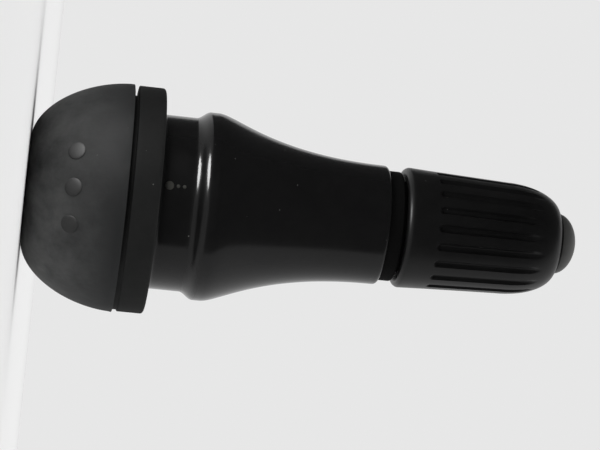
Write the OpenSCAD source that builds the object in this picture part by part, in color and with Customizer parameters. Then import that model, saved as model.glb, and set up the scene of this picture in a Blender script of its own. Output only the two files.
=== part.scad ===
// Snap-in tyre valve with a screwed dust cap, standing on the flat of its rubber head.
// Millimetres. +Z runs along the stem, and the origin is the middle of the base.

/* [Rubber head] */
// Diameter of the head at its parting line
head_d = 19.2; // [17:0.1:21]
// Diameter of the flat that the head stands on
base_d = 8.8; // [7:0.1:11]
// Height of the dome, from the base to the parting line
dome_h = 8.05; // [7:0.05:10]
// Fullness of the dome: 2 is a quarter of an ellipse, more is squarer
dome_power = 1.8; // [1.5:0.05:2.5]
// Height of the skirt, from the parting line to the shoulder
skirt_h = 2.6; // [1.5:0.05:3.5]
// How far the edge of the dome stands out over the skirt
lip_step = 0.15; // [0.05:0.05:0.4]
// Width of the groove at the parting line
seam_w = 0.4; // [0.2:0.05:0.6]
// Depth of that groove, measured in from the skirt
seam_depth = 0.3; // [0.1:0.05:0.6]
// Radius on the outer edge of the shoulder
shoulder_r = 0.25; // [0.2:0.05:0.8]
// Diameter of the air hole through the base
air_hole_d = 3.6; // [3:0.1:4.5]

/* [Neck and sleeve] */
// Diameter of the neck, which is squeezed into the hole of the rim
neck_d = 14.6; // [13:0.1:16]
// Length of the neck, from the shoulder to the step
neck_l = 2.8; // [2:0.05:5]
// Radius of the fillet between the shoulder and the neck
neck_fillet = 0.4; // [0.1:0.05:0.8]
// Length of the rounded step from the neck up to the bulge
step_l = 1.2; // [0.6:0.05:2]
// How far the bulge stands out over the neck
bulge_rise = 0.6; // [0.3:0.05:1]
// Length of the bulge at its full diameter
bulge_l = 0.6; // [0.2:0.05:1.5]
// Length of the tapered sleeve, from the bulge to its end
sleeve_l = 14.75; // [12:0.05:20]
// Share of the sleeve along which it curves away from the bulge
bulge_hold = 0.11; // [0.05:0.01:0.3]
// Share of the sleeve that runs out almost straight
taper_run = 0.66; // [0.5:0.01:0.7]
// Step from the end of the sleeve down to the collar
sleeve_step = 0.4; // [0.3:0.05:1]
// Radius on the end of the sleeve
sleeve_edge_r = 0.35; // [0.2:0.05:0.6]
// Thickness of the rubber collar on the stem
collar_wall = 1.15; // [0.6:0.05:1.3]
// Length of that collar beyond the sleeve
collar_l = 1.2; // [0.6:0.1:2]

/* [Brass stem] */
// Rubber between the base and the foot of the stem
base_wall = 4; // [3:0.1:5]
// Diameter of the foot that is moulded into the head
foot_d = 9.2; // [8:0.1:10.5]
// Height of the foot
foot_h = 1.6; // [1:0.1:2]
// Diameter of the tube inside the rubber
tube_d = 7; // [6.4:0.1:7.6]
// Number of barbs that hold the rubber
barb_n = 3; // [1:1:4]
// Length of one barb
barb_l = 1.4; // [1:0.1:2]
// How far a barb stands out over the tube
barb_rise = 0.6; // [0.3:0.1:1]
// Diameter of the air bore at the foot
bore_d = 3; // [2.4:0.1:3.4]
// Length of the stem beyond the rubber
thread_l = 11.3; // [9:0.1:14]
// Outer diameter of the thread for the cap
thread_d = 7.7; // [7.4:0.05:8.2]
// Length of the rubber skin between the collar and the thread
skin_l = 0.7; // [0.4:0.1:1.2]
// Thickness of that skin, which fills a relief in the stem
skin_t = 0.5; // [0.3:0.05:0.7]
// Chamfer on the tip of the stem
tip_chamfer = 0.7; // [0.3:0.05:0.9]
// Chamfer on the mouth of the stem
mouth_chamfer = 0.3; // [0.1:0.05:0.4]

/* [Valve core] */
// Diameter of the valve pin
pin_d = 1; // [0.8:0.05:1.2]
// How far the pin's button lies below the tip of the stem
pin_drop = 0.2; // [0:0.05:0.9]
// Diameter of the button on the pin
button_d = 1.8; // [1.5:0.05:2.2]
// Height of the button
button_h = 0.9; // [0.5:0.05:1.2]
// Travel of the pin from shut to fully open
pin_travel = 1.4; // [0.8:0.05:1.8]
// Room left between the button and the plug when the pin is pressed
button_gap = 0.3; // [0.1:0.05:0.6]
// Height of the tongue on the plug that the core key turns
tongue_h = 1.4; // [0.8:0.05:2]
// Thickness of that tongue
tongue_w = 2.2; // [1.8:0.05:3]
// Step from the plug's thread in to the end of the tongue
tongue_step = 0.35; // [0.2:0.05:0.6]
// Length of the plug's threaded part
plug_l = 2.6; // [1.8:0.1:3.6]
// Chamfer on the lower edge of the plug
plug_chamfer = 0.25; // [0.1:0.05:0.4]
// Length of the spigot by which the plug turns in the barrel
spigot_l = 0.8; // [0.5:0.05:1.2]
// Room round the pin in the plug
pin_gap = 0.15; // [0.1:0.05:0.25]
// How far the spring stop stands out over the pin
stop_rise = 0.6; // [0.5:0.05:0.8]
// Height of the spring stop
stop_h = 0.4; // [0.2:0.05:0.8]
// Room between the spring stop and the plug's spigot
stop_gap = 0.2; // [0.1:0.05:0.4]
// Diameter of the spring's wire
wire_d = 0.28; // [0.2:0.02:0.34]
// Length of the spring as it is fitted
spring_l = 6; // [5:0.1:8]
// Turns of the spring
spring_turns = 8; // [6:0.5:10]
// Room between the pin and the spring
spring_gap = 0.22; // [0.15:0.01:0.3]
// Room between the spring stop and the barrel's bore
bore_gap = 0.2; // [0.1:0.05:0.4]
// Wall of the barrel
barrel_wall = 0.45; // [0.3:0.05:0.7]
// Thickness of the barrel's floor, which the washer shuts
barrel_floor = 1; // [0.6:0.05:1.6]
// Room round the pin in the barrel's floor
floor_gap = 0.22; // [0.15:0.01:0.24]
// Height of the flange over the seal ring
flange_h = 0.45; // [0.3:0.05:0.8]
// How far that flange stands out over the barrel
flange_rise = 0.35; // [0.2:0.05:0.45]
// Height of the seal ring on the barrel
seal_h = 2; // [1.4:0.1:2.6]
// Barrel between the plug and the seal ring
seal_drop = 1.2; // [0.8:0.1:2]
// Room for air between the barrel and the stem
air_gap = 0.4; // [0.3:0.05:0.6]
// How far the stem's mouth is wider than the core chamber
seat_step = 0.45; // [0.3:0.05:0.5]
// Fitting clearance between the core and the stem
core_gap = 0.03; // [0.02:0.01:0.06]
// Step from the barrel in to the cup at the foot of the pin
cup_step = 0.1; // [0.05:0.05:0.3]
// Wall of the cup
cup_wall = 0.25; // [0.2:0.05:0.4]
// Height of the cup
cup_h = 1.3; // [0.9:0.05:1.8]
// Thickness of the cup's floor
cup_floor = 0.4; // [0.3:0.05:0.6]
// How far the washer stands up out of the cup
washer_proud = 0.25; // [0.1:0.05:0.5]
// Length of the pin that is riveted under the cup
rivet_l = 0.3; // [0.2:0.05:0.6]
// Room under the pin in the stem when the pin is pressed
chamber_room = 0.6; // [0.3:0.1:1.5]

/* [Dust cap] */
// Gap between the rubber collar and the rim of the cap
cap_gap = 0.2; // [0.1:0.05:0.6]
// Clearance between the stem's thread and the cap
thread_gap = 0.1; // [0.06:0.01:0.15]
// Wall of the cap at its rim
cap_wall = 1.15; // [0.95:0.05:1.6]
// How much the cap narrows from its rim to its shoulder, on the radius
cap_draft = 0.34; // [0.1:0.02:0.4]
// Rounding on the outside of the rim
rim_round = 0.5; // [0.2:0.05:0.7]
// Chamfer on the inside of the rim
rim_chamfer = 0.35; // [0.1:0.05:0.4]
// Plain band between the rim and the flutes
band_l = 2.2; // [1:0.1:4]
// Number of flutes round the cap
flute_n = 20; // [12:1:24]
// Radius of one flute
flute_r = 0.32; // [0.2:0.01:0.4]
// Angle of the first flute about the stem
flute_turn = 15; // [0:1:30]
// Height of the cap's rounded shoulder
shoulder_h = 4.65; // [3:0.05:5]
// Diameter of the button on the end of the cap
nub_d = 5.2; // [4:0.1:6]
// Height of that button
nub_h = 1.75; // [0.8:0.05:2.2]
// Thickness of the cap's end, without the button
crown_h = 1.9; // [1.4:0.05:2.6]
// Thickness of the gasket in the cap
gasket_t = 0.55; // [0.4:0.05:0.8]
// How far the gasket reaches past the tip of the stem
gasket_over = 0.1; // [0.05:0.05:0.3]
// Clearance round the gasket
gasket_gap = 0.05; // [0.03:0.01:0.08]
// Room round the pin's button in the gasket
gasket_bore_gap = 0.6; // [0.3:0.05:1]

/* [Hidden] */

$fn = 96;
// Steps along one rounded stretch of an outline
curve_n = 14;
// Steps along the sleeve's long curve
taper_n = 28;
// Points round the spring's wire, and rings in one of its turns
wire_n = 8;
ring_n = 18;
// How far a cutter reaches past the face that it cuts
over = 1;

// Radii of the rubber
head_r = head_d / 2;
base_r = base_d / 2;
skirt_r = head_r - lip_step;
neck_r = neck_d / 2;
bulge_r = neck_r + bulge_rise;
tube_r = tube_d / 2;
collar_r = tube_r + collar_wall;
sleeve_r = collar_r + sleeve_step;
sleeve_round = min(sleeve_edge_r, 0.9 * sleeve_step);
air_hole_r = air_hole_d / 2;

// Heights along the rubber, each stacked on the one before
shoulder_z = dome_h + skirt_h;
step_z = shoulder_z + neck_l;
bulge_z = step_z + step_l;
taper_z = bulge_z + bulge_l;
sleeve_end_z = taper_z + sleeve_l;
rubber_end_z = sleeve_end_z + collar_l;
skin_end_z = rubber_end_z + skin_l;
tip_z = rubber_end_z + thread_l;

// Heights along the core, hung from the tip of the stem
pin_top_z = tip_z - pin_drop;
button_z = pin_top_z - button_h;
plug_top_z = button_z - pin_travel - button_gap;
plug_thread_z = plug_top_z - tongue_h;
plug_z = plug_thread_z - plug_l;
stop_top_z = plug_z - spigot_l - stop_gap;
stop_z = stop_top_z - stop_h;
spring_z = stop_z - spring_l;
barrel_z = spring_z - barrel_floor;
seal_top_z = plug_z - seal_drop;
seal_z = seal_top_z - seal_h;
washer_top_z = barrel_z - core_gap;
cup_top_z = washer_top_z - washer_proud;
cup_z = cup_top_z - cup_h;
pin_z = cup_z - rivet_l;
chamber_z = pin_z - pin_travel - chamber_room;

// Radii of the core and of the bore that holds it, worked outwards from the pin
pin_r = pin_d / 2;
button_r = button_d / 2;
wire_r = wire_d / 2;
coil_r = pin_r + spring_gap + wire_r;
stop_r = pin_r + stop_rise;
barrel_bore_r = stop_r + bore_gap;
barrel_r = barrel_bore_r + barrel_wall;
chamber_r = barrel_r + air_gap;
mouth_r = chamber_r + seat_step;
plug_r = mouth_r - core_gap;
tongue_r = plug_r - tongue_step;
plug_hole_r = pin_r + pin_gap;
spigot_r = barrel_bore_r - core_gap;
floor_hole_r = pin_r + floor_gap;
flange_r = barrel_r + flange_rise;
cup_r = barrel_r - cup_step;
cup_bore_r = cup_r - cup_wall;

// The stem's own radii: its chamfers are limited by the wall at the mouth
bore_r = bore_d / 2;
foot_r = foot_d / 2;
thread_r = thread_d / 2;
relief_r = thread_r - skin_t;
mouth_wall = thread_r - mouth_r;
tip_cut = min(tip_chamfer, 0.6 * mouth_wall);
mouth_cut = min(mouth_chamfer, 0.3 * mouth_wall);
tip_r = thread_r - tip_cut;
barb_z = base_wall + foot_h + barb_l;

// The cap, fitted over the thread and closed above the gasket
rim_z = rubber_end_z + cap_gap;
cap_bore_r = thread_r + thread_gap;
cap_r = cap_bore_r + cap_wall;
cap_top_r = cap_r - cap_draft;
gasket_r = tip_r + gasket_over;
gasket_bore_r = button_r + gasket_bore_gap;
gasket_z = tip_z + gasket_gap;
recess_r = gasket_r + gasket_gap;
roof_z = gasket_z + gasket_t + gasket_gap;
nub_r = nub_d / 2;
nub_z = roof_z + crown_h;
cap_shoulder_z = nub_z - shoulder_h;
draft_angle = atan(cap_draft / (cap_shoulder_z - rim_z));
flute_z = rim_z + rim_round + band_l + flute_r;
flute_start_r = cap_r - (flute_z - rim_z) * tan(draft_angle);
flute_l = nub_z - flute_z;

// Quarter of an ellipse about a centre, from one angle to another: [radius, height] points
function round_off(r, z, dr, dz, from, to) =
    [for (i = [0:curve_n])
        let (a = from + (to - from) * i / curve_n)
        [r + dr * cos(a), z + dz * sin(a)]];

// Cubic curve through four control points, without its first point
function cubic(a, b, c, d) =
    [for (i = [1:taper_n])
        let (t = i / taper_n, s = 1 - t)
        s * s * s * a + 3 * s * s * t * b + 3 * s * t * t * c + t * t * t * d];

// Dome from the flat of the base out to the parting line
dome_points =
    [for (i = [0:curve_n])
        let (a = 90 * i / curve_n)
        [base_r + (head_r - base_r) * pow(sin(a), 2 / dome_power),
         dome_h * (1 - pow(cos(a), 2 / dome_power))]];

// Smooth step from the neck up to the bulge
step_points =
    [for (i = [0:curve_n])
        let (t = i / curve_n)
        [neck_r + bulge_rise * (1 - cos(180 * t)) / 2, step_z + step_l * t]];

// Long S-shaped taper from the bulge to the end of the sleeve
taper_end_z = sleeve_end_z - sleeve_round;
taper_l = taper_end_z - taper_z;
taper_points = cubic([bulge_r, taper_z],
                     [bulge_r, taper_z + bulge_hold * taper_l],
                     [sleeve_r, taper_end_z - taper_run * taper_l],
                     [sleeve_r, taper_end_z]);

// Outside of the stem where the rubber is bonded to it, from the foot up
bond_points = concat(
    [[foot_r, base_wall], [foot_r, base_wall + foot_h], [tube_r, base_wall + foot_h]],
    [for (i = [0:barb_n - 1], p = [[tube_r, 0], [tube_r + barb_rise, 0], [tube_r, barb_l]])
        [p[0], p[1] + barb_z + i * barb_l]],
    [[tube_r, rubber_end_z], [relief_r, rubber_end_z], [relief_r, skin_end_z]]);

// Outside of the rubber, from the air hole in the base round to the skin on the stem
rubber_points = concat(
    [[air_hole_r, 0]],
    dome_points,
    [[skirt_r - seam_depth, dome_h], [skirt_r - seam_depth, dome_h + seam_w]],
    [[skirt_r, dome_h + seam_w]],
    round_off(skirt_r - shoulder_r, shoulder_z - shoulder_r, shoulder_r, shoulder_r, 0, 90),
    round_off(neck_r + neck_fillet, shoulder_z + neck_fillet, neck_fillet, neck_fillet, 270, 180),
    step_points,
    [[bulge_r, taper_z]],
    taper_points,
    round_off(sleeve_r - sleeve_round, taper_end_z, sleeve_round, sleeve_round, 0, 90),
    [[collar_r, sleeve_end_z], [collar_r, rubber_end_z]],
    [[thread_r, rubber_end_z], [thread_r, skin_end_z]]);

function reversed(points) = [for (i = [len(points) - 1:-1:0]) points[i]];

// Moulded rubber body: head, neck, bulge, sleeve, collar and skin in one piece round the stem
module rubber_body() {
    color([0.09, 0.09, 0.09])
        rotate_extrude()
            polygon(concat(rubber_points, reversed(bond_points), [[air_hole_r, base_wall]]));
}

// Turned brass stem: barbed foot, tube, threaded tip, and the chamber for the core
module brass_stem() {
    color([0.78, 0.62, 0.32])
        rotate_extrude()
            polygon(concat(
                [[bore_r, base_wall]],
                bond_points,
                [[thread_r, skin_end_z], [thread_r, tip_z - tip_cut], [tip_r, tip_z]],
                [[mouth_r + mouth_cut, tip_z], [mouth_r, tip_z - mouth_cut]],
                [[mouth_r, seal_top_z], [chamber_r, seal_z], [chamber_r, chamber_z]],
                [[bore_r, chamber_z - (chamber_r - bore_r)]]));
}

// Threaded plug of the core, with a tongue for the key and a spigot for the barrel
module core_plug() {
    color([0.8, 0.66, 0.36])
        difference() {
            rotate_extrude()
                polygon([[plug_hole_r, plug_z - spigot_l], [spigot_r, plug_z - spigot_l],
                         [spigot_r, plug_z], [plug_r - plug_chamfer, plug_z],
                         [plug_r, plug_z + plug_chamfer], [plug_r, plug_thread_z],
                         [tongue_r, plug_thread_z], [tongue_r, plug_top_z],
                         [plug_hole_r, plug_top_z]]);
            for (side = [0, 180])
                rotate([0, 0, side])
                    translate([-plug_r - over, tongue_w / 2, plug_thread_z])
                        cube([2 * (plug_r + over), plug_r + over, tongue_h + over]);
        }
}

// Barrel of the core: spring chamber, flange over the seal ring, and the floor that is shut
module core_barrel() {
    color([0.76, 0.6, 0.3])
        rotate_extrude()
            polygon([[floor_hole_r, barrel_z], [barrel_r, barrel_z], [barrel_r, seal_top_z],
                     [flange_r, seal_top_z], [flange_r, seal_top_z + flange_h],
                     [barrel_r, seal_top_z + flange_h], [barrel_r, plug_z],
                     [barrel_bore_r, plug_z], [barrel_bore_r, spring_z],
                     [floor_hole_r, spring_z]]);
}

// Tapered seal ring, which seats in the cone of the stem
module core_seal() {
    color([0.85, 0.82, 0.78])
        rotate_extrude()
            polygon([[barrel_r, seal_z], [chamber_r - core_gap, seal_z],
                     [mouth_r - core_gap, seal_top_z], [barrel_r, seal_top_z]]);
}

// Pin through the whole core, with its button, its spring stop and its riveted foot
module core_pin() {
    color([0.82, 0.7, 0.42])
        rotate_extrude()
            polygon(concat(
                [[0, pin_z], [pin_r, pin_z], [pin_r, stop_z], [stop_r, stop_z]],
                [[stop_r, stop_top_z], [pin_r, stop_top_z], [pin_r, button_z]],
                [[button_r, button_z], [button_r, button_z + button_h / 2]],
                round_off(0, button_z + button_h / 2, button_r, button_h / 2, 0, 90)));
}

// Cup on the foot of the pin, open towards the barrel
module pin_cup() {
    color([0.76, 0.6, 0.3])
        rotate_extrude()
            polygon([[pin_r, cup_z], [cup_r, cup_z], [cup_r, cup_top_z], [cup_bore_r, cup_top_z],
                     [cup_bore_r, cup_z + cup_floor], [pin_r, cup_z + cup_floor]]);
}

// Rubber washer in the cup, which shuts the barrel's floor
module cup_washer() {
    color([0.12, 0.12, 0.12])
        rotate_extrude()
            polygon([[pin_r, cup_z + cup_floor], [cup_bore_r, cup_z + cup_floor],
                     [cup_bore_r, washer_top_z], [pin_r, washer_top_z]]);
}

// Points of one ring of the spring's wire, at a share of its length
function wire_ring(share) =
    let (turn = 360 * spring_turns * share,
         z = spring_z + wire_r + (spring_l - wire_d) * share)
    [for (k = [0:wire_n - 1])
        let (a = 360 * k / wire_n, r = coil_r + wire_r * cos(a))
        [r * cos(turn), r * sin(turn), z + wire_r * sin(a)]];

// Coil spring that holds the pin up
module core_spring() {
    rings = ceil(spring_turns * ring_n);
    last = rings * wire_n;
    color([0.7, 0.71, 0.73])
        polyhedron(
            points = [for (i = [0:rings]) each wire_ring(i / rings)],
            faces = concat(
                [[for (k = [0:wire_n - 1]) k]],
                [for (i = [0:rings - 1], k = [0:wire_n - 1])
                    let (next = (k + 1) % wire_n)
                    [i * wire_n + k, (i + 1) * wire_n + k,
                     (i + 1) * wire_n + next, i * wire_n + next]],
                [[for (k = [wire_n - 1:-1:0]) last + k]]));
}

// One flute, round in section and at its lower end, laid along the drafted side of the cap
module flute() {
    translate([flute_start_r, 0, flute_z])
        rotate([0, -draft_angle, 0])
            rotate_extrude($fn = 32)
                polygon(concat([[0, flute_l]], [[0, 0]],
                               round_off(0, 0, flute_r, flute_r, -90, 0),
                               [[flute_r, flute_l]]));
}

// Moulded dust cap: rounded rim, plain band, fluted grip, rounded shoulder and end button
module dust_cap() {
    rim_wall = cap_wall - rim_chamfer;
    rim_r = min(rim_round, 0.9 * rim_wall);
    color([0.07, 0.07, 0.07])
        difference() {
            rotate_extrude()
                polygon(concat(
                    [[cap_bore_r + rim_chamfer, rim_z]],
                    round_off(cap_r - rim_r, rim_z + rim_r, rim_r, rim_r, -90, 0),
                    round_off(nub_r, cap_shoulder_z, cap_top_r - nub_r, shoulder_h, 0, 90),
                    round_off(0, nub_z, nub_r, nub_h, 0, 90),
                    [[0, roof_z], [recess_r, roof_z], [recess_r, gasket_z]],
                    [[cap_bore_r, gasket_z - (cap_bore_r - recess_r)]],
                    [[cap_bore_r, rim_z + rim_chamfer]]));
            for (i = [0:flute_n - 1])
                rotate([0, 0, flute_turn + 360 * i / flute_n])
                    flute();
        }
}

// Sealing gasket in the end of the cap
module cap_gasket() {
    color([0.16, 0.16, 0.17])
        translate([0, 0, gasket_z])
            difference() {
                cylinder(r = gasket_r, h = gasket_t);
                translate([0, 0, -over])
                    cylinder(r = gasket_bore_r, h = gasket_t + 2 * over);
            }
}

rubber_body();
brass_stem();
core_plug();
core_barrel();
core_seal();
core_pin();
pin_cup();
cup_washer();
core_spring();
dust_cap();
cap_gasket();
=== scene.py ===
# %% [markdown]
# # A snap-in tyre valve
# The valve is a rubber plug with a brass tube bonded inside it. It is pulled through a wheel rim
# until the groove behind its head snaps into the hole. A small sprung valve sits in the brass tube,
# and a plastic cap keeps dirt out. This lesson dresses the measured solids of that valve:
# every piece that shows is turned or pressed again with soft edges, and gets its own finish.

# %% Load the frame
import math

import bpy
from mathutils import Matrix, Vector, noise


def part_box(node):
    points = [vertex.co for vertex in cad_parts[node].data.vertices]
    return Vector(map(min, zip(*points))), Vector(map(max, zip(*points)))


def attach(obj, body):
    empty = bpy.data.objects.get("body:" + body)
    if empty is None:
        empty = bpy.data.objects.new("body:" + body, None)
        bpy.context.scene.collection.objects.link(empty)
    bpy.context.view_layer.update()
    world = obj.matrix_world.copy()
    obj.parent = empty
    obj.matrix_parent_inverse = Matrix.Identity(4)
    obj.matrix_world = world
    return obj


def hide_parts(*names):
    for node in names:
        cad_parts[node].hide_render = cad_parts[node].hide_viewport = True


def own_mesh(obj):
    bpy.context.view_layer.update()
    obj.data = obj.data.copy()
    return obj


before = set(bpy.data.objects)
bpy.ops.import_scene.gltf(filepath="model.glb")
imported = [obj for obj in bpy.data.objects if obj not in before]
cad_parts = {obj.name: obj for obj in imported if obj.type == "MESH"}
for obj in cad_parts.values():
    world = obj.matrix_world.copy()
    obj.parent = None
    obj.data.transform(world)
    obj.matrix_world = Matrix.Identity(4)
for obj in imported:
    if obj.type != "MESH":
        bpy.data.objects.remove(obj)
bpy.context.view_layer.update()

MM = 0.001
print("solids:", sorted(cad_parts))

# %% [markdown]
# ## The camera
# The valve stands on its head here, with its stem along Z. The photograph shows it lying, so the
# camera is rolled by a little more than a quarter turn instead of the valve. The camera looks up
# along the stem by a few degrees, which makes the head look larger than the cap. Its lens is long,
# because the photograph shows little perspective.

# %% Set up the camera
IMAGE_WIDTH = 600
FOCAL_PIXELS = 2005
SENSOR_WIDTH = 36
CAMERA_PLACE = Vector((0, -167.75, 1.9)) * MM
CAMERA_TILT = math.radians(7.2)
CAMERA_PAN = math.radians(-0.24)
CAMERA_ROLL = math.radians(96)

bpy.ops.object.camera_add(location=CAMERA_PLACE)
camera = bpy.context.object
camera.data.sensor_width = SENSOR_WIDTH
camera.data.lens = FOCAL_PIXELS * SENSOR_WIDTH / IMAGE_WIDTH
camera.data.clip_start = 5 * MM
camera.rotation_mode = "QUATERNION"
level = Matrix.Rotation(CAMERA_PAN, 3, "Z") @ Matrix.Rotation(math.pi / 2 + CAMERA_TILT, 3, "X")
camera.rotation_quaternion = (level @ Matrix.Rotation(CAMERA_ROLL, 3, "Z")).to_quaternion()
bpy.context.scene.camera = camera
print("lens:", round(camera.data.lens, 1), "mm")

# %% [markdown]
# ## Turning a piece
# Nearly every piece of a valve is round, so it is made as a lathe makes it. A single point is
# extruded from corner to corner until it has drawn half of the section, and Spin sweeps that line
# round the stem. An outline holds (radius, height) pairs in millimetres. Round stretches come from
# small helpers: one for arcs, one for free curves, and one for straight runs. After the spin, a rule
# may move the points in or out, which is how flash, flutes and threads are made.

# %% Helpers for outlines
def arc(centre_r, centre_z, size_r, size_z, start, end, steps=8):
    """Points along part of an ellipse, from one angle to another in degrees."""
    angles = [math.radians(start + (end - start) * i / steps) for i in range(steps + 1)]
    return [(centre_r + size_r * math.cos(a), centre_z + size_z * math.sin(a)) for a in angles]


def curve(a, b, c, d, steps):
    """Points along a cubic curve with four control points, without its first point."""
    points = []
    for i in range(1, steps + 1):
        t = i / steps
        s = 1 - t
        weights = (s ** 3, 3 * s * s * t, 3 * s * t * t, t ** 3)
        points.append(tuple(sum(w * p[k] for w, p in zip(weights, (a, b, c, d))) for k in (0, 1)))
    return points


def straight(start, end, steps):
    """Points along a straight stretch, without its first point."""
    return [tuple(s + (e - s) * i / steps for s, e in zip(start, end)) for i in range(1, steps + 1)]


# %% Spin an outline into a solid
MERGE_DISTANCE = 0.0005 * MM
SHARP_EDGE = math.radians(40)
TOLERANCE = 0.01


def turn(name, outline, steps):
    """Draws the closed outline point by point and spins it round Z to a solid."""
    bpy.ops.object.select_all(action="DESELECT")
    bpy.ops.mesh.primitive_plane_add(size=MM)
    piece = bpy.context.object
    piece.name = piece.data.name = name
    bpy.ops.object.mode_set(mode="EDIT")
    bpy.ops.mesh.select_all(action="SELECT")
    bpy.ops.mesh.merge(type="CENTER")
    bpy.ops.transform.translate(value=(outline[0][0] * MM, 0, outline[0][1] * MM))
    path = outline + outline[:1]
    for (r0, z0), (r1, z1) in zip(path, path[1:]):
        step = ((r1 - r0) * MM, 0, (z1 - z0) * MM)
        bpy.ops.mesh.extrude_region_move(TRANSFORM_OT_translate={"value": step})
    bpy.ops.mesh.select_all(action="SELECT")
    bpy.ops.mesh.spin(steps=steps, angle=2 * math.pi, center=(0, 0, 0), axis=(0, 0, 1))
    bpy.ops.mesh.select_all(action="SELECT")
    bpy.ops.mesh.remove_doubles(threshold=MERGE_DISTANCE)
    bpy.ops.mesh.normals_make_consistent(inside=False)
    bpy.ops.object.mode_set(mode="OBJECT")
    print(name, "has", len(piece.data.polygons), "faces")
    return piece


def smooth(piece):
    """Smooth shading, apart from edges that are meant to be sharp."""
    bpy.ops.object.select_all(action="DESELECT")
    piece.select_set(True)
    bpy.context.view_layer.objects.active = piece
    bpy.ops.object.shade_smooth_by_angle(angle=SHARP_EDGE)


def reshape(piece, rule):
    """Moves every point of a turned piece: rule takes and gives radius, angle and height in mm."""
    for vertex in piece.data.vertices:
        x, y, z = vertex.co / MM
        r, angle, z = rule(math.hypot(x, y), math.atan2(y, x), z)
        vertex.co = Vector((r * math.cos(angle), r * math.sin(angle), z)) * MM


# %% [markdown]
# ## The rubber body
# The head, the neck and the sleeve are one moulding. The dome ends in a thin lip, where the two
# halves of the mould met, and a narrow groove runs behind it. The groove is deep on the upper side
# and almost shut on the lower side, where the lip lies down on the skirt. The neck is the groove
# that the rim sits in. From the bulge behind it the sleeve tapers in one long S-curve, which a cubic
# curve with two long handles follows well. A thin skin of rubber runs on to the first turn of the
# thread. Where a solid of the frame ends at a height, that height is read from it.

# %% Sizes of the rubber
def heights(node):
    """Lowest and highest point of a solid along the stem, in mm."""
    low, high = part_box(node)
    return round(low.z / MM, 3), round(high.z / MM, 3)


# In mm: a name that ends in _R is a radius, and one that ends in _Z a height above the base
BASE_R = 4.4
AIR_HOLE_R = 1.8
HOLE_ROUND = 0.25
LIP_R = 9.52
LIP_EDGE = 0.07
DOME_H = 8.05
DOME_POWER = 1.8
DOME_STEPS = 40
SEAM_W = 0.4
SEAM_R = 8.6
SEAM_SHUT_R = 9.3
SKIRT_R = 9.45
SKIRT_EDGE = 0.07
SHOULDER_Z = 10.65
SHOULDER_EDGE = 0.25
NECK_R = 7.3
NECK_FILLET = 0.4
STEP_Z = 13.45
BULGE_R = 7.9
BULGE_Z = 14.65
RISE_STEPS = 14
TAPER_Z = 15.25
BULGE_HOLD = 0.11  # handle of the curve at the bulge, as a share of the taper
TAPER_RUN = 0.66  # handle of the curve at the sleeve's end, as a share of the taper
TAPER_STEPS = 44
SLEEVE_R = 5.05
SLEEVE_EDGE = 0.35
SLEEVE_Z = 30.0
COLLAR_R = 4.65
COLLAR_EDGE = 0.2
COLLAR_Z = 31.2
SKIN_R = 3.85
SKIN_Z = heights("rubber_body")[1]
RELIEF_R = 3.35
TUBE_R = 3.5
FOOT_R = 4.6
FOOT_Z, TIP_Z = heights("brass_stem")
FOOT_TOP_Z = 5.6

# %% Outline of the head
def dome_point(share):
    """A point of the dome, from the flat base (share 0) out to the lip (share 1)."""
    a = math.pi / 2 * share
    power = 2 / DOME_POWER
    return (BASE_R + (LIP_R - BASE_R) * math.sin(a) ** power,
            (DOME_H - LIP_EDGE) * (1 - max(0, math.cos(a)) ** power))


def head_outline():
    """Half section of the head, from the brass in the air hole round to the foot of the neck."""
    seam_middle = DOME_H + SEAM_W / 2
    skirt_z = DOME_H + SEAM_W + SKIRT_EDGE
    outline = [(AIR_HOLE_R, FOOT_Z)]
    outline += arc(AIR_HOLE_R + HOLE_ROUND, HOLE_ROUND, HOLE_ROUND, HOLE_ROUND, 180, 270, 4)
    outline += [dome_point(i / DOME_STEPS) for i in range(DOME_STEPS + 1)]
    outline += arc(LIP_R - LIP_EDGE, DOME_H - LIP_EDGE, LIP_EDGE, LIP_EDGE, 15, 90, 4)
    outline += arc(SEAM_R + LIP_EDGE, seam_middle, LIP_EDGE, SEAM_W / 2, -90, -270, 8)
    outline += arc(SKIRT_R - SKIRT_EDGE, skirt_z, SKIRT_EDGE, SKIRT_EDGE, -90, 0, 4)
    outline += straight(outline[-1], (SKIRT_R, SHOULDER_Z - SHOULDER_EDGE), 4)[:-1]
    outline += arc(SKIRT_R - SHOULDER_EDGE, SHOULDER_Z - SHOULDER_EDGE,
                   SHOULDER_EDGE, SHOULDER_EDGE, 0, 90, 8)
    return outline


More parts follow.
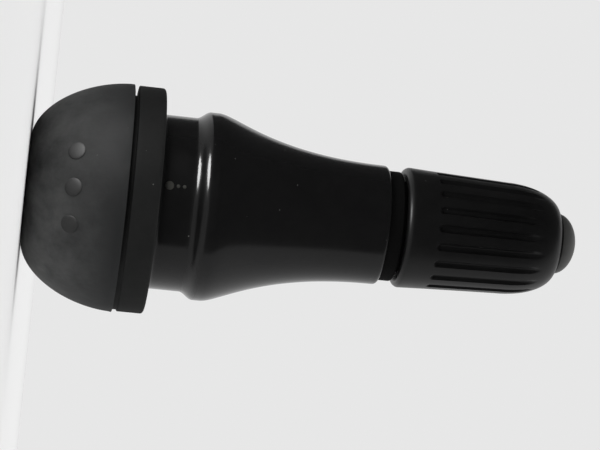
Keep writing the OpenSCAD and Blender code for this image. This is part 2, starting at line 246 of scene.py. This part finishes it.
# %% Outline of the sleeve
def sleeve_outline():
    """Half section from the neck to the skin at the thread, and back down along the brass."""
    end_z = SLEEVE_Z - SLEEVE_EDGE
    taper = end_z - TAPER_Z
    outline = arc(NECK_R + NECK_FILLET, SHOULDER_Z + NECK_FILLET, NECK_FILLET, NECK_FILLET, 270, 180)
    outline += straight(outline[-1], (NECK_R, STEP_Z), 8)[:-1]
    outline += [(NECK_R + (BULGE_R - NECK_R) * (1 - math.cos(math.pi * i / RISE_STEPS)) / 2,
                 STEP_Z + (BULGE_Z - STEP_Z) * i / RISE_STEPS) for i in range(RISE_STEPS + 1)]
    outline += straight(outline[-1], (BULGE_R, TAPER_Z), 3)
    outline += curve((BULGE_R, TAPER_Z), (BULGE_R, TAPER_Z + BULGE_HOLD * taper),
                     (SLEEVE_R, end_z - TAPER_RUN * taper), (SLEEVE_R, end_z), TAPER_STEPS)
    outline += arc(SLEEVE_R - SLEEVE_EDGE, end_z, SLEEVE_EDGE, SLEEVE_EDGE, 0, 90, 6)[1:]
    outline += [(COLLAR_R, SLEEVE_Z)]
    outline += arc(COLLAR_R - COLLAR_EDGE, COLLAR_Z - COLLAR_EDGE, COLLAR_EDGE, COLLAR_EDGE, 0, 90, 4)
    outline += [(SKIN_R, COLLAR_Z), (SKIN_R, SKIN_Z), (RELIEF_R, SKIN_Z), (RELIEF_R, COLLAR_Z)]
    outline += [(TUBE_R, COLLAR_Z), (TUBE_R, FOOT_TOP_Z), (FOOT_R, FOOT_TOP_Z), (FOOT_R, FOOT_Z)]
    return outline


# %% Turn the rubber and fray its lip
FLASH = 0.07
FLASH_WAVES = 7
FLASH_SEED = 0.3
SHUT_START = -0.1
SHUT_SPAN = 0.8


def ragged_lip(r, angle, z):
    """Lets the thin flash on the lip run out unevenly, as it tears off the mould."""
    if r < LIP_R - LIP_EDGE or abs(z - DOME_H) > 2 * LIP_EDGE:
        return r, angle, z
    wave = noise.noise(Vector((math.cos(angle), math.sin(angle), FLASH_SEED)) * FLASH_WAVES)
    return r + FLASH * max(-0.5, min(1, 2 * wave)), angle, z


def uneven_seam(r, angle, z):
    """Shuts the groove behind the lip on the lower side, as the cosine of the angle grows."""
    if abs(r - SEAM_R) > 2 * LIP_EDGE or abs(z - DOME_H - SEAM_W / 2) > SEAM_W / 2 + TOLERANCE:
        return r, angle, z
    share = max(0, min(1, (math.cos(angle) - SHUT_START) / SHUT_SPAN))
    return r + (SEAM_SHUT_R - SEAM_R) * share * share * (3 - 2 * share), angle, z


rubber_body = turn("moulded_rubber", head_outline() + sleeve_outline(), steps=180)
reshape(rubber_body, ragged_lip)
reshape(rubber_body, uneven_seam)
smooth(rubber_body)
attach(rubber_body, "valve")
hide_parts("rubber_body")

# %% [markdown]
# ## Mould marks
# A mould leaves small raised marks. On the head they are three plain round pips, and on the neck a
# short row of nibs, where rubber ran into the vents of the mould. Each mark is a flattened ball that
# is turned until it lies on the rubber.

# %% A flattened ball on the rubber
def button(size, height, angle, r, z, lean):
    """A round mark at an angle about the stem; lean is the slope of the rubber under it."""
    bpy.ops.object.select_all(action="DESELECT")
    bpy.ops.mesh.primitive_uv_sphere_add(segments=32, ring_count=16, radius=size * MM)
    mark = bpy.context.object
    turned = Matrix.Rotation(math.radians(angle), 4, "Z")
    tilted = Matrix.Rotation(math.pi / 2 + lean, 4, "Y")
    placed = Matrix.Translation(Vector((r, 0, z)) * MM)
    flattened = Matrix.Diagonal((1, 1, height / size, 1))
    mark.data.transform(turned @ placed @ tilted @ flattened)
    return mark


def joined(name, marks):
    """Joins marks to one piece that rides with the valve."""
    bpy.ops.object.select_all(action="DESELECT")
    for mark in marks:
        mark.select_set(True)
    bpy.context.view_layer.objects.active = marks[0]
    bpy.ops.object.join()
    piece = bpy.context.object
    piece.name = piece.data.name = name
    smooth(piece)
    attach(piece, "valve")
    return piece


# %% Press the pips and the nibs
PIP_R = 0.75
PIP_HEIGHT = 0.2
PIP_SHARE = 0.62
PIP_ANGLES = (247, 267, 287)
SLOPE_STEP = 0.02
NIB_ANGLE = 259
NIBS = ((0.36, 0.2, 11.4), (0.15, 0.12, 12.1), (0.15, 0.12, 12.6))  # radius, height, place along Z

pip_r, pip_z = dome_point(PIP_SHARE)
r0, z0 = dome_point(PIP_SHARE - SLOPE_STEP)
r1, z1 = dome_point(PIP_SHARE + SLOPE_STEP)
pip_lean = math.atan2(r1 - r0, z1 - z0)
mould_pips = joined("mould_pips", [button(PIP_R, PIP_HEIGHT, angle, pip_r, pip_z, pip_lean)
                                   for angle in PIP_ANGLES])
vent_nibs = joined("vent_nibs", [button(size, height, NIB_ANGLE, NECK_R, z, 0)
                                 for size, height, z in NIBS])
print("mould marks:", len(PIP_ANGLES), "pips and", len(NIBS), "nibs")

# %% [markdown]
# ## The dust cap
# The cap is a small moulding with flutes for the fingers. The plain cap is turned first. A flute is
# the trace of a round-nosed cutter, so its floor is worked out as the cutter's surface, and each
# point of the cap outside that surface is pressed in. A soft minimum rounds the flute's edges, as
# the mould does. The bore gets its thread in the same way, as a helix that is let into the wall.

# %% Sizes of the cap
RIM_Z, CAP_TOP_Z = heights("dust_cap")
CAP_BORE_R = 3.95
CAP_R = 5.1
CAP_TOP_R = 4.76
RIM_ROUND = 0.5
RIM_CHAMFER = 0.35
CAP_SHOULDER_Z = 40.4
NUB_Z = 45.05
NUB_R = 2.6
NUB_H = CAP_TOP_Z - NUB_Z
ROOF_Z = 43.15
RECESS_R = 3.3
RECESS_Z = heights("cap_gasket")[0]
FLUTES = 20
FLUTE_R = 0.32
FLUTE_Z = 34.42
FLUTE_TURN = math.radians(15)
FLUTE_SOFTNESS = 0.06
THREAD_PITCH = 25.4 / 32
THREAD_FLANK = 2.4  # 2 gives a sharp crest, and more gives a flat one
CAP_THREAD_DEPTH = 0.22
CAP_THREAD_Z = 32.4

# %% Outline of the cap
def side_point(z):
    """A point on the drafted side of the cap."""
    share = (z - RIM_Z) / (CAP_SHOULDER_Z - RIM_Z)
    return (CAP_R + (CAP_TOP_R - CAP_R) * share, z)


def cap_outline():
    """Half section of the cap, from the inside of the rim round the outside to the roof and back."""
    bore_top = RECESS_Z - (CAP_BORE_R - RECESS_R)
    outline = [(CAP_BORE_R + RIM_CHAMFER, RIM_Z)]
    outline += arc(CAP_R - RIM_ROUND, RIM_Z + RIM_ROUND, RIM_ROUND, RIM_ROUND, -90, 0, 8)
    outline += straight(outline[-1], side_point(FLUTE_Z - 2 * FLUTE_R), 6)
    outline += straight(outline[-1], side_point(FLUTE_Z + FLUTE_R), 14)
    outline += straight(outline[-1], (CAP_TOP_R, CAP_SHOULDER_Z), 14)[:-1]
    outline += arc(NUB_R, CAP_SHOULDER_Z, CAP_TOP_R - NUB_R, NUB_Z - CAP_SHOULDER_Z, 0, 90, 32)
    outline += arc(0, NUB_Z, NUB_R, NUB_H, 0, 90, 16)
    outline += [(0, ROOF_Z), (RECESS_R, ROOF_Z), (RECESS_R, RECESS_Z), (CAP_BORE_R, bore_top)]
    outline += straight(outline[-1], (CAP_BORE_R, RIM_Z + RIM_CHAMFER), 96)
    return outline


# %% Press the flutes and cut the thread in the bore
def thread_cut(angle, z, start):
    """How far a point lies into a thread's groove, from 0 on its crest to 1 at its root."""
    phase = ((z - start) / THREAD_PITCH - angle / (2 * math.pi)) % 1
    flank = min(1, THREAD_FLANK * abs(phase - 0.5))
    fade = max(0, min(1, (z - start) / THREAD_PITCH))
    return (1 - flank) * fade


def shape_cap(r, angle, z):
    """Presses the outside of the cap in to the floor of its flutes, and threads its bore."""
    if abs(r - CAP_BORE_R) < TOLERANCE:
        return r + CAP_THREAD_DEPTH * thread_cut(angle, z, CAP_THREAD_Z), angle, z
    if r < CAP_BORE_R + RIM_CHAMFER / 2 and z < ROOF_Z + TOLERANCE:
        return r, angle, z
    pitch = 2 * math.pi / FLUTES
    off = (angle - FLUTE_TURN + pitch / 2) % pitch - pitch / 2
    across = r * math.sin(off)
    below = max(0, FLUTE_Z - z)
    reach = FLUTE_R ** 2 - across ** 2 - below ** 2
    depth = math.sqrt(reach) if reach > 0 else -math.sqrt(-reach)
    floor = side_point(z)[0] - depth
    blend = max(0, FLUTE_SOFTNESS - abs(r - floor)) / FLUTE_SOFTNESS
    return min(r, floor) - blend ** 2 * FLUTE_SOFTNESS / 4, angle, z


dust_cap = turn("fluted_cap", cap_outline(), steps=FLUTES * 18)
reshape(dust_cap, shape_cap)
smooth(dust_cap)
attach(dust_cap, "cap")
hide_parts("dust_cap")

# %% [markdown]
# ## The brass stem
# Under the cap the brass tube ends in a thread of 32 turns to the inch. A real thread is one long
# ridge. The tip is turned with many fine rings, and then each point is moved in by how far it lies
# in the groove between two turns of the ridge. The groove fades out at its lower end.

# %% Sizes of the stem
THREAD_R = 3.85
THREAD_DEPTH = 0.42
TIP_CHAMFER = 0.7
MOUTH_R = 2.6
MOUTH_CHAMFER = 0.3
SEAT_Z, SEAT_TOP_Z = heights("core_seal")
CHAMBER_R = 2.15
CHAMBER_Z = 23.4
STEM_BORE_R = 1.5

# %% Turn the stem and cut its thread
def stem_outline():
    """Half section of the brass stem, from its foot up the outside and down the bore."""
    outline = [(STEM_BORE_R, FOOT_Z), (FOOT_R, FOOT_Z), (FOOT_R, FOOT_TOP_Z), (TUBE_R, FOOT_TOP_Z)]
    outline += [(TUBE_R, COLLAR_Z), (RELIEF_R, COLLAR_Z), (RELIEF_R, SKIN_Z), (THREAD_R, SKIN_Z)]
    outline += straight(outline[-1], (THREAD_R, TIP_Z - TIP_CHAMFER), 150)
    outline += straight(outline[-1], (THREAD_R - TIP_CHAMFER, TIP_Z), 8)
    outline += [(MOUTH_R + MOUTH_CHAMFER, TIP_Z), (MOUTH_R, TIP_Z - MOUTH_CHAMFER)]
    outline += [(MOUTH_R, SEAT_TOP_Z), (CHAMBER_R, SEAT_Z), (CHAMBER_R, CHAMBER_Z)]
    outline += [(STEM_BORE_R, CHAMBER_Z - (CHAMBER_R - STEM_BORE_R))]
    return outline


def cut_thread(r, angle, z):
    """Cuts a point of the tip down to the thread's flank, apart from points on the bore."""
    if r < MOUTH_R + MOUTH_CHAMFER + TOLERANCE or z < SKIN_Z - TOLERANCE:
        return r, angle, z
    return min(r, THREAD_R - THREAD_DEPTH * thread_cut(angle, z, SKIN_Z)), angle, z


brass_stem = turn("threaded_stem", stem_outline(), steps=96)
reshape(brass_stem, cut_thread)
smooth(brass_stem)
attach(brass_stem, "valve")
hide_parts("brass_stem")

# %% [markdown]
# ## The spring
# A coil spring under the pin's stop holds the valve shut. The Screw modifier winds its wire: it turns
# a small circle round the stem and lifts it by one pitch in each turn. When the pin is pressed, the
# stop pushes the spring together.

# %% Wind the spring
COIL_R = 0.86
WIRE_R = 0.14
WIRE_SIDES = 12
SPRING_Z, SPRING_TOP_Z = heights("core_spring")
SPRING_L = SPRING_TOP_Z - SPRING_Z
SPRING_TURNS = 8
STEPS_PER_TURN = 24

bpy.ops.object.select_all(action="DESELECT")
bpy.ops.mesh.primitive_circle_add(vertices=WIRE_SIDES, radius=WIRE_R * MM,
                                  location=(COIL_R * MM, 0, (SPRING_Z + WIRE_R) * MM),
                                  rotation=(math.pi / 2, 0, 0))
bpy.ops.object.transform_apply(location=True, rotation=True, scale=True)
spring = bpy.context.object
spring.name = spring.data.name = "coil_spring"
winding = spring.modifiers.new("winding", "SCREW")
winding.iterations = SPRING_TURNS
winding.screw_offset = (SPRING_L - 2 * WIRE_R) / SPRING_TURNS * MM
winding.steps = winding.render_steps = STEPS_PER_TURN
bpy.ops.object.modifier_apply(modifier="winding")
bpy.ops.object.mode_set(mode="EDIT")
bpy.ops.mesh.select_all(action="SELECT")
bpy.ops.mesh.fill_holes(sides=WIRE_SIDES)
bpy.ops.mesh.select_all(action="SELECT")
bpy.ops.mesh.normals_make_consistent(inside=False)
bpy.ops.object.mode_set(mode="OBJECT")
smooth(spring)
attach(spring, "valve")
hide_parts("core_spring")
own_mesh(spring)
print("coil_spring has", len(spring.data.polygons), "faces")

# %% [markdown]
# ## Finishes
# Each finish is a set of shader nodes that read Object coordinates, so a pattern keeps its real
# size. Effects that several finishes share, here fine grain and settled dust, are built once as node
# groups. One function then makes every finish from them, with its own colours, gloss and roughness.

# %% Helpers for node trees
MIX_A, MIX_B, MIX_RESULT = 6, 7, 2  # colour sockets of a Mix node


def add_node(tree, kind, inputs=None, **settings):
    """Adds a node, sets its properties, and links or sets its inputs."""
    node = tree.nodes.new(kind)
    for key, value in settings.items():
        setattr(node, key, value)
    for key, value in (inputs or {}).items():
        if isinstance(value, bpy.types.NodeSocket):
            tree.links.new(value, node.inputs[key])
        else:
            node.inputs[key].default_value = value
    return node


def new_group(name, inputs, outputs):
    """Starts a shader node group: inputs are (title, kind, value), outputs are titles."""
    group = bpy.data.node_groups.new(name, "ShaderNodeTree")
    for title, kind, value in inputs:
        socket = group.interface.new_socket(title, in_out="INPUT", socket_type=kind)
        if value is not None:
            socket.default_value = value
    for title in outputs:
        group.interface.new_socket(title, in_out="OUTPUT", socket_type="NodeSocketFloat")
    return group, group.nodes.new("NodeGroupInput"), group.nodes.new("NodeGroupOutput")


# %% A group for fine grain
def grain_group():
    """Fine moulded grain: a height made of noise."""
    group, given, made = new_group(
        "fine_grain",
        [("Position", "NodeSocketVector", None), ("Scale", "NodeSocketFloat", 3000)],
        ["Height"])
    fine = add_node(group, "ShaderNodeTexNoise", {
        "Vector": given.outputs["Position"], "Scale": given.outputs["Scale"],
        "Detail": 4, "Roughness": 0.6})
    group.links.new(fine.outputs["Fac"], made.inputs["Height"])
    return group


GRAIN = grain_group()

# %% A group for settled dust
def dust_group():
    """Settled dust: a cloudy film, and small specks that stand alone."""
    group, given, made = new_group(
        "settled_dust",
        [("Position", "NodeSocketVector", None), ("Film Scale", "NodeSocketFloat", 300),
         ("Speck Scale", "NodeSocketFloat", 800), ("Speck Size", "NodeSocketFloat", 0.05)],
        ["Film", "Specks"])
    film = add_node(group, "ShaderNodeTexNoise", {
        "Vector": given.outputs["Position"], "Scale": given.outputs["Film Scale"],
        "Detail": 6, "Roughness": 0.65})
    film_range = add_node(group, "ShaderNodeMapRange", {
        "Value": film.outputs["Fac"], "From Min": 0.2, "From Max": 0.8})
    cells = add_node(group, "ShaderNodeTexVoronoi", {
        "Vector": given.outputs["Position"], "Scale": given.outputs["Speck Scale"]})
    chance = add_node(group, "ShaderNodeSeparateColor", {"Color": cells.outputs["Color"]})
    size = add_node(group, "ShaderNodeMath", {
        0: chance.outputs["Red"], 1: given.outputs["Speck Size"]}, operation="MULTIPLY")
    near = add_node(group, "ShaderNodeMath", {
        0: cells.outputs["Distance"], 1: size.outputs[0]}, operation="LESS_THAN")
    group.links.new(film_range.outputs["Result"], made.inputs["Film"])
    group.links.new(near.outputs[0], made.inputs["Specks"])
    return group


DUST = dust_group()

# %% A dusty finish with grain, and a film fade of painted light
def dusty(name, base, film, film_amount, specks, speck_size, roughness, grain_scale, grain_depth,
          film_scale=300, metallic=0.0, gloss=0.5, painted_light_film_end=None):
    """A material: base colour, dust film, specks, (clean, dusty) roughness, and grain in mm.

    With a last height in mm, the film thins out from the base up to that height. This fade is
    painted light, which makes the base paler as if light fell on it.
    """
    material = bpy.data.materials.new(name)
    material.use_nodes = True
    tree = material.node_tree
    shader = tree.nodes["Principled BSDF"]
    place = add_node(tree, "ShaderNodeTexCoord").outputs["Object"]
    dust = add_node(tree, "ShaderNodeGroup", node_tree=DUST)
    tree.links.new(place, dust.inputs["Position"])
    dust.inputs["Film Scale"].default_value = film_scale
    dust.inputs["Speck Size"].default_value = speck_size
    amount = add_node(tree, "ShaderNodeMath", {0: dust.outputs["Film"], 1: film_amount},
                      operation="MULTIPLY")
    # Painted light: the pale film fades out from the base upward, so the base looks lit.
    if painted_light_film_end:
        height = add_node(tree, "ShaderNodeSeparateXYZ", {"Vector": place})
        painted_light_fade = add_node(tree, "ShaderNodeMapRange", {
            "Value": height.outputs["Z"], "From Max": painted_light_film_end * MM, "To Min": 1, "To Max": 0})
        amount = add_node(tree, "ShaderNodeMath", {
            0: amount.outputs[0], 1: painted_light_fade.outputs["Result"]}, operation="MULTIPLY")
    filmed = add_node(tree, "ShaderNodeMix", data_type="RGBA")
    tree.links.new(amount.outputs[0], filmed.inputs["Factor"])
    filmed.inputs[MIX_A].default_value = (*base, 1)
    filmed.inputs[MIX_B].default_value = (*film, 1)
    specked = add_node(tree, "ShaderNodeMix", data_type="RGBA")
    tree.links.new(dust.outputs["Specks"], specked.inputs["Factor"])
    tree.links.new(filmed.outputs[MIX_RESULT], specked.inputs[MIX_A])
    specked.inputs[MIX_B].default_value = (*specks, 1)
    tree.links.new(specked.outputs[MIX_RESULT], shader.inputs["Base Color"])
    rough = add_node(tree, "ShaderNodeMapRange", {
        "Value": dust.outputs["Film"], "To Min": roughness[0], "To Max": roughness[1]})
    tree.links.new(rough.outputs["Result"], shader.inputs["Roughness"])
    grain = add_node(tree, "ShaderNodeGroup", node_tree=GRAIN)
    tree.links.new(place, grain.inputs["Position"])
    grain.inputs["Scale"].default_value = grain_scale
    bump = add_node(tree, "ShaderNodeBump", {
        "Height": grain.outputs["Height"], "Distance": grain_depth * MM})
    tree.links.new(bump.outputs["Normal"], shader.inputs["Normal"])
    shader.inputs["Metallic"].default_value = metallic
    shader.inputs["Specular IOR Level"].default_value = gloss
    return material


# %% Finishes of the rubber and the cap
# The head's film is real dust, but its fade from the flat base towards the lip is painted light, which
# makes the base side paler.
MATTE_RUBBER = dusty("matte_rubber", base=(0.034, 0.035, 0.0355), film=(0.24, 0.241, 0.238),
                     film_amount=0.9, specks=(0.22, 0.22, 0.21), speck_size=0.05, gloss=0.05,
                     roughness=(0.6, 0.8), grain_scale=2500, grain_depth=0.02, painted_light_film_end=7.5)
# Painted shade: the pips carry little of the pale film, so they stand out dark against the dusty head.
SHADED_PIP_RUBBER = dusty("shaded_pip_rubber", base=(0.034, 0.034, 0.034), film=(0.07, 0.07, 0.069),
                      film_amount=0.5, specks=(0.2, 0.2, 0.19), speck_size=0.05, gloss=0.2,
                      roughness=(0.6, 0.75), grain_scale=2500, grain_depth=0.01)
TORN_RUBBER = dusty("torn_rubber", base=(0.075, 0.075, 0.067), film=(0.1, 0.1, 0.09),
                    film_amount=0.5, specks=(0.2, 0.2, 0.19), speck_size=0.05, gloss=0.1,
                    roughness=(0.6, 0.75), grain_scale=2500, grain_depth=0.01)
# Painted shade: the skirt and the groove behind the lip are a darker, less dusty copy of the head's
# rubber.
SHADED_SKIRT_RUBBER = dusty("shaded_skirt_rubber", base=(0.018, 0.0185, 0.0185), film=(0.04, 0.04, 0.039),
                     film_amount=0.5, specks=(0.2, 0.2, 0.19), speck_size=0.05, gloss=0.02,
                     roughness=(0.6, 0.8), grain_scale=2500, grain_depth=0.01)
# Painted shade: the collar and skin above the sleeve's end are near-black, as if shaded in the gap
# under the cap.
SHADED_GAP_RUBBER = dusty("painted_shade_gap_rubber", base=(0.004, 0.004, 0.004), film=(0.01, 0.01, 0.01),
                   film_amount=0.5, specks=(0.1, 0.1, 0.095), speck_size=0.03, gloss=0.05,
                   roughness=(0.8, 0.95), grain_scale=2500, grain_depth=0.01)
GLOSSY_RUBBER = dusty("glossy_rubber", base=(0.008, 0.008, 0.0083), film=(0.016, 0.016, 0.0157),
                      film_amount=0.4, specks=(0.25, 0.25, 0.24), speck_size=0.04, gloss=0.21,
                      roughness=(0.13, 0.23), grain_scale=900, grain_depth=0.002)
CAP_PLASTIC = dusty("cap_plastic", base=(0.005, 0.005, 0.0052), film=(0.013, 0.013, 0.0127),
                    film_amount=0.4, specks=(0.25, 0.25, 0.24), speck_size=0.045, gloss=0.2,
                    roughness=(0.3, 0.42), grain_scale=1300, grain_depth=0.003)
# The nub at the top of the cap is paler than the rest of the cap.
PALE_NUB_PLASTIC = dusty("pale_nub_plastic", base=(0.045, 0.045, 0.044), film=(0.09, 0.09, 0.086),
                        film_amount=0.5, specks=(0.25, 0.25, 0.24), speck_size=0.05, gloss=0.3,
                        roughness=(0.45, 0.6), grain_scale=2500, grain_depth=0.008)

# %% Finishes inside the valve
STEM_BRASS = dusty("stem_brass", base=(0.72, 0.50, 0.22), film=(0.42, 0.28, 0.12),
                   film_amount=0.5, specks=(0.4, 0.3, 0.15), speck_size=0.02,
                   roughness=(0.26, 0.45), grain_scale=2000, grain_depth=0.004, metallic=1.0)
CORE_BRASS = dusty("core_brass", base=(0.76, 0.56, 0.27), film=(0.5, 0.34, 0.15),
                   film_amount=0.5, specks=(0.4, 0.3, 0.15), speck_size=0.02,
                   roughness=(0.22, 0.4), grain_scale=2600, grain_depth=0.003, metallic=1.0)
SEAL_PLASTIC = dusty("seal_plastic", base=(0.72, 0.70, 0.66), film=(0.55, 0.52, 0.46),
                     film_amount=0.4, specks=(0.3, 0.28, 0.25), speck_size=0.03,
                     roughness=(0.4, 0.55), grain_scale=1500, grain_depth=0.004)
SEAL_RUBBER = dusty("seal_rubber", base=(0.02, 0.02, 0.021), film=(0.05, 0.05, 0.049),
                    film_amount=0.4, specks=(0.2, 0.2, 0.19), speck_size=0.04,
                    roughness=(0.5, 0.7), grain_scale=2000, grain_depth=0.01)
SPRING_STEEL = dusty("spring_steel", base=(0.55, 0.56, 0.58), film=(0.35, 0.34, 0.33),
                     film_amount=0.4, specks=(0.2, 0.18, 0.15), speck_size=0.03,
                     roughness=(0.25, 0.45), grain_scale=3000, grain_depth=0.002, metallic=1.0)

# %% Give the pieces their finishes
def dress(piece, *materials):
    """Gives a piece its material slots."""
    piece.data.materials.clear()
    for material in materials:
        piece.data.materials.append(material)


FINISH_ENDS = (DOME_H - TOLERANCE, SHOULDER_Z + 2 * TOLERANCE, SLEEVE_Z + 2 * TOLERANCE)
NUB_FOOT = 0.1

# From the base up: the head, the skirt (painted shade), the glossy neck and sleeve, and the collar in
# the gap (painted shade).
dress(rubber_body, MATTE_RUBBER, SHADED_SKIRT_RUBBER, GLOSSY_RUBBER, SHADED_GAP_RUBBER)
for face in rubber_body.data.polygons:
    face.material_index = sum(face.center.z > end * MM for end in FINISH_ENDS)
dress(mould_pips, SHADED_PIP_RUBBER)
dress(vent_nibs, TORN_RUBBER)
dress(dust_cap, CAP_PLASTIC, PALE_NUB_PLASTIC)
for face in dust_cap.data.polygons:
    face.material_index = int(face.center.z > (NUB_Z + NUB_FOOT) * MM)
dress(brass_stem, STEM_BRASS)
dress(spring, SPRING_STEEL)
for node, material in {"core_plug": CORE_BRASS, "core_barrel": CORE_BRASS, "core_pin": CORE_BRASS,
                       "pin_cup": CORE_BRASS, "core_seal": SEAL_PLASTIC, "cup_washer": SEAL_RUBBER,
                       "cap_gasket": SEAL_RUBBER}.items():
    dress(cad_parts[node], material)
print("finishes:", sorted(material.name for material in bpy.data.materials if material.users))

# %% [markdown]
# ## The studio
# The lying valve's upper side is -X here, and the table under it is on the +X side. Glossy black
# rubber is a dark mirror, so what it faces matters more than how much light it gets. The surround
# and the floor are an even pale grey. Half a dome of black cloth stands in front of the valve and on
# its upper side, and keeps the rubber black there; the open half leaves the pale sheen on the lower
# third. A lamp over the floor lights it, and the floor lights the head. A small lamp close to the
# head, which only shows as a mirror image, draws the two bright lines along the step behind the neck
# and a soft gleam on the dome. The floor is clear when it is looked at from below, so that the
# underside of the head can be seen too.

# %% Floor
FLOOR_R = 0.7
FLOOR_GAP = 0.02


def plain_paint(name, tone, roughness):
    """A grey paint without any gloss, and its shader."""
    paint = bpy.data.materials.new(name)
    paint.use_nodes = True
    shader = paint.node_tree.nodes["Principled BSDF"]
    shader.inputs["Base Color"].default_value = (tone, tone, tone, 1)
    shader.inputs["Roughness"].default_value = roughness
    shader.inputs["Specular IOR Level"].default_value = 0
    return paint, shader


bpy.ops.object.select_all(action="DESELECT")
bpy.ops.mesh.primitive_circle_add(vertices=96, radius=FLOOR_R, fill_type="NGON",
                                  location=(0, 0, -FLOOR_GAP * MM))
floor = bpy.context.object
floor.name = "floor"
floor_paint, floor_shader = plain_paint("floor_paint", tone=0.85, roughness=0.9)
floor_tree = floor_paint.node_tree
from_below = add_node(floor_tree, "ShaderNodeNewGeometry").outputs["Backfacing"]
clear = add_node(floor_tree, "ShaderNodeBsdfTransparent").outputs["BSDF"]
one_sided = add_node(floor_tree, "ShaderNodeMixShader", {
    0: from_below, 1: floor_shader.outputs["BSDF"], 2: clear})
floor_tree.links.new(one_sided.outputs["Shader"], floor_tree.nodes["Material Output"].inputs["Surface"])
dress(floor, floor_paint)
print("floor:", 2 * FLOOR_R, "m across")

# %% Surround
SURROUND = 0.8

world = bpy.data.worlds.new("surround")
bpy.context.scene.world = world
world.use_nodes = True
backdrop = world.node_tree.nodes["Background"]
backdrop.inputs["Color"].default_value = (1, 1, 1, 1)
backdrop.inputs["Strength"].default_value = SURROUND
print("surround:", SURROUND, "where 1 is white")

# %% Black cloth
CLOTH_R = 1.2
CLOTH_START = 120  # degrees round the stem
CLOTH_END = 327

bpy.ops.object.select_all(action="DESELECT")
bpy.ops.mesh.primitive_uv_sphere_add(segments=120, ring_count=48, radius=CLOTH_R)
cloth = bpy.context.object
cloth.name = "black_cloth"
bpy.ops.object.mode_set(mode="EDIT")
bpy.ops.mesh.select_mode(type="FACE")
bpy.ops.mesh.select_all(action="DESELECT")
bpy.ops.object.mode_set(mode="OBJECT")
for face in cloth.data.polygons:
    side = math.degrees(math.atan2(face.center.y, face.center.x)) % 360
    face.select = face.center.z < 0 or not CLOTH_START < side < CLOTH_END
bpy.ops.object.mode_set(mode="EDIT")
bpy.ops.mesh.delete(type="FACE")
bpy.ops.object.mode_set(mode="OBJECT")
dress(cloth, plain_paint("black_cloth", tone=0.1, roughness=1)[0])
cloth.visible_camera = False
print("black cloth:", len(cloth.data.polygons), "faces")

# %% Lamps
def lamp(name, place, aim, width, height, glow):
    """A soft oval lamp. Its glow is the brightness of its face, where 1 is white paper."""
    bpy.ops.object.light_add(type="AREA", location=Vector(place) * MM)
    light = bpy.context.object
    light.name = name
    light.data.shape = "ELLIPSE"
    light.data.size = width * MM
    light.data.size_y = height * MM
    face_area = math.pi / 4 * light.data.size * light.data.size_y
    light.data.energy = glow * math.pi * face_area
    light.rotation_mode = "QUATERNION"
    light.rotation_quaternion = (Vector(aim) * MM - light.location).to_track_quat("-Z", "Y")
    light.visible_camera = False
    return light


floor_lamp = lamp("floor_lamp", place=(0, 0, 900), aim=(0, 0, 0), width=1080, height=1080, glow=2.3)
floor_lamp.visible_glossy = False
gleam_lamp = lamp("gleam_lamp", place=(-13, -16, 4), aim=(-3, -7, 14), width=15, height=9, glow=42)
gleam_lamp.visible_diffuse = False
print("lamps:", floor_lamp.name, "and", gleam_lamp.name)

# %% Finish
bpy.context.scene.view_settings.view_transform = "Standard"
bpy.context.view_layer.update()
